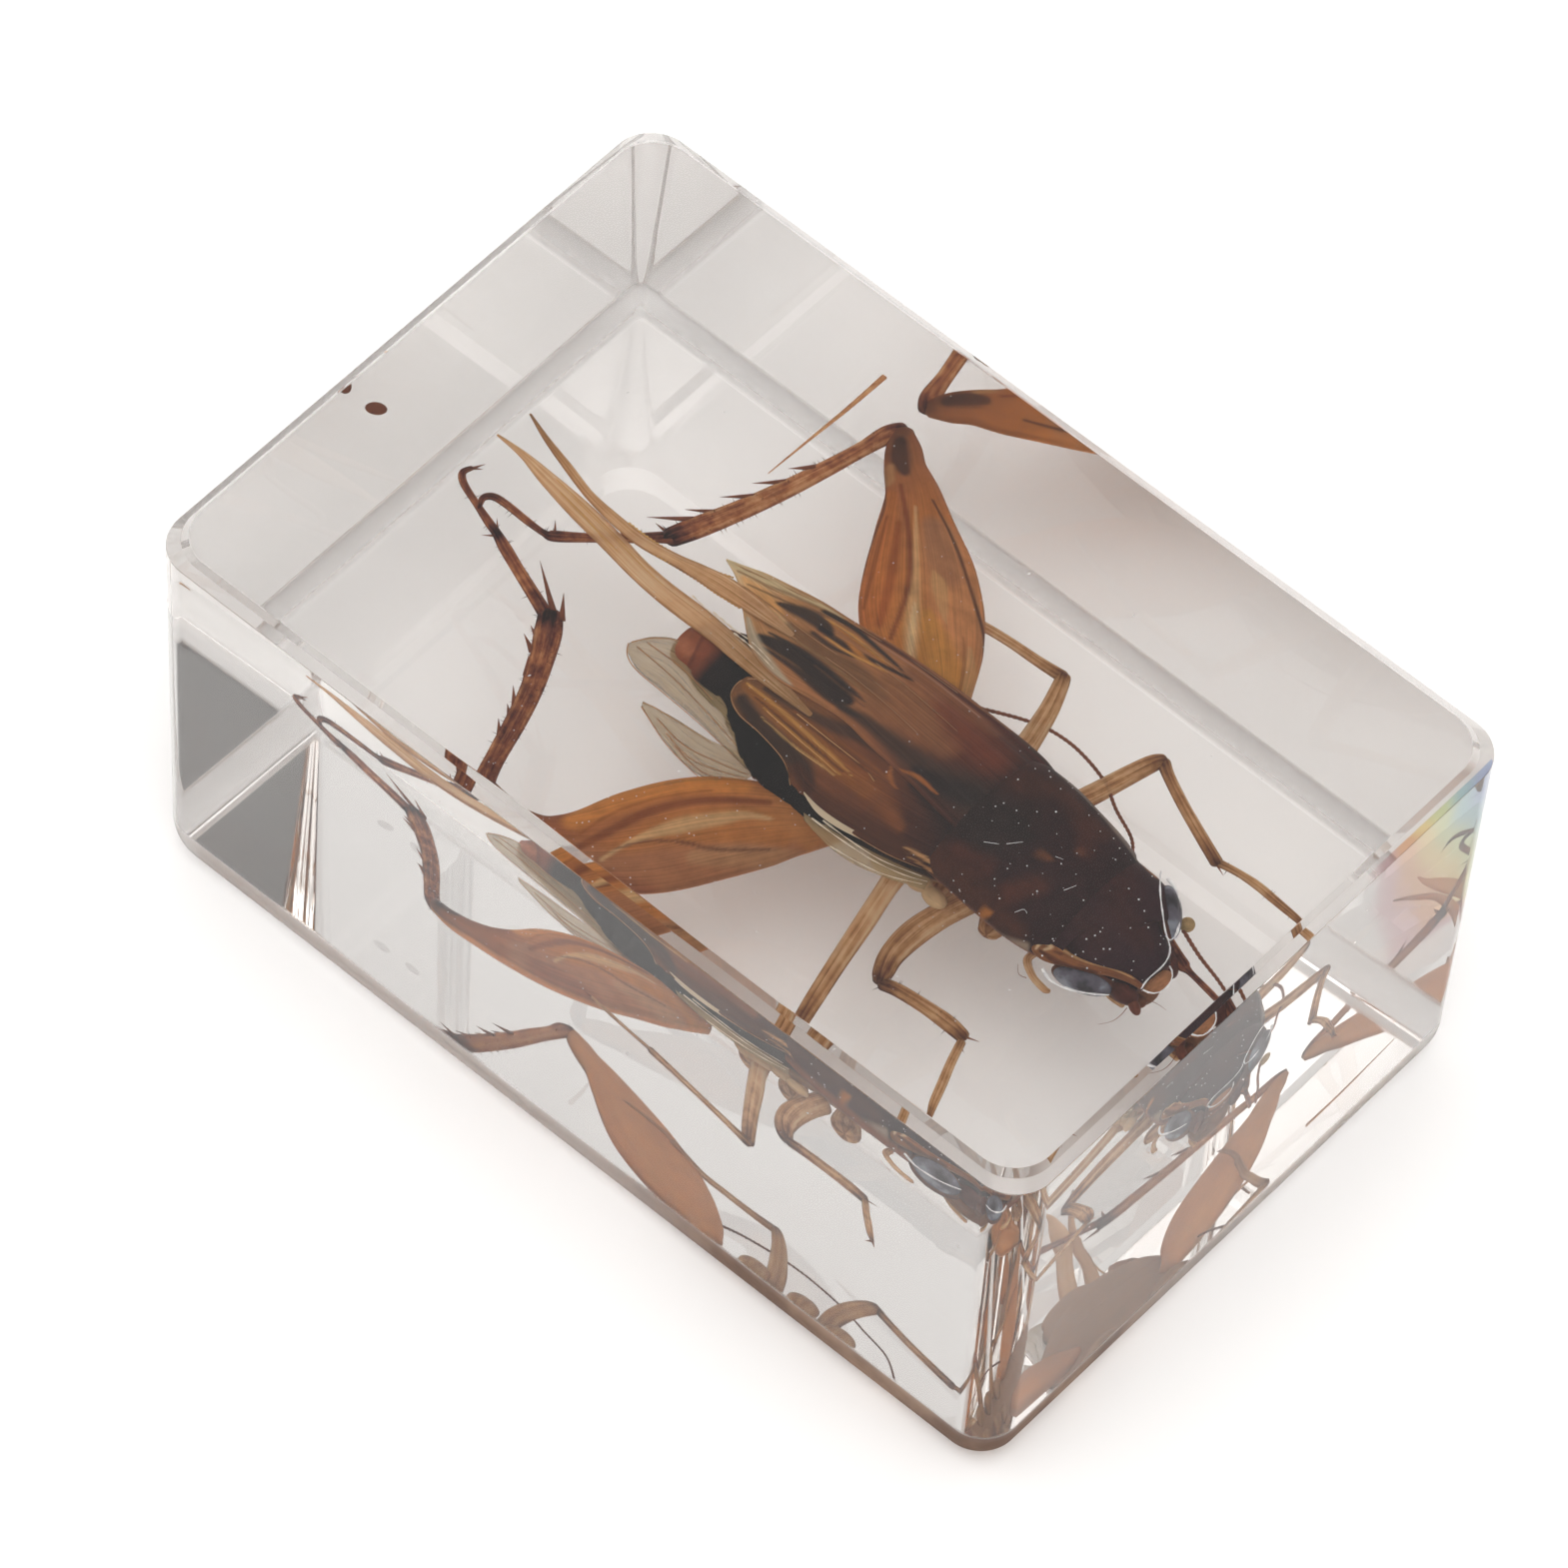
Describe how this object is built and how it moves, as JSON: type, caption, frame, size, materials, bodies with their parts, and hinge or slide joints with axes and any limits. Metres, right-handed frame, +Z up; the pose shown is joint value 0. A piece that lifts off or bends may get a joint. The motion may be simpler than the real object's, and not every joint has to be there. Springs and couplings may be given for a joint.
{
  "type": "insect in resin block",
  "caption": "Clear cast resin block with a brown cricket sealed in it, lies flat on its resting face as a paperweight or a specimen to study from all sides.",
  "frame": {"origin": "centre of the resting face, at the block's lowest level", "axes": "+Z up to the viewing face, +X along the block towards the insect's head, +Y across it towards the insect's right side"},
  "size_m": [0.044, 0.0286, 0.0203],
  "materials": {
    "clear_resin": "clear cast polyester resin, polished, see-through, IOR about 1.55"
  },
  "bodies": {
    "root": {"resin_block": "clear_resin"}
  },
  "joints": []
}
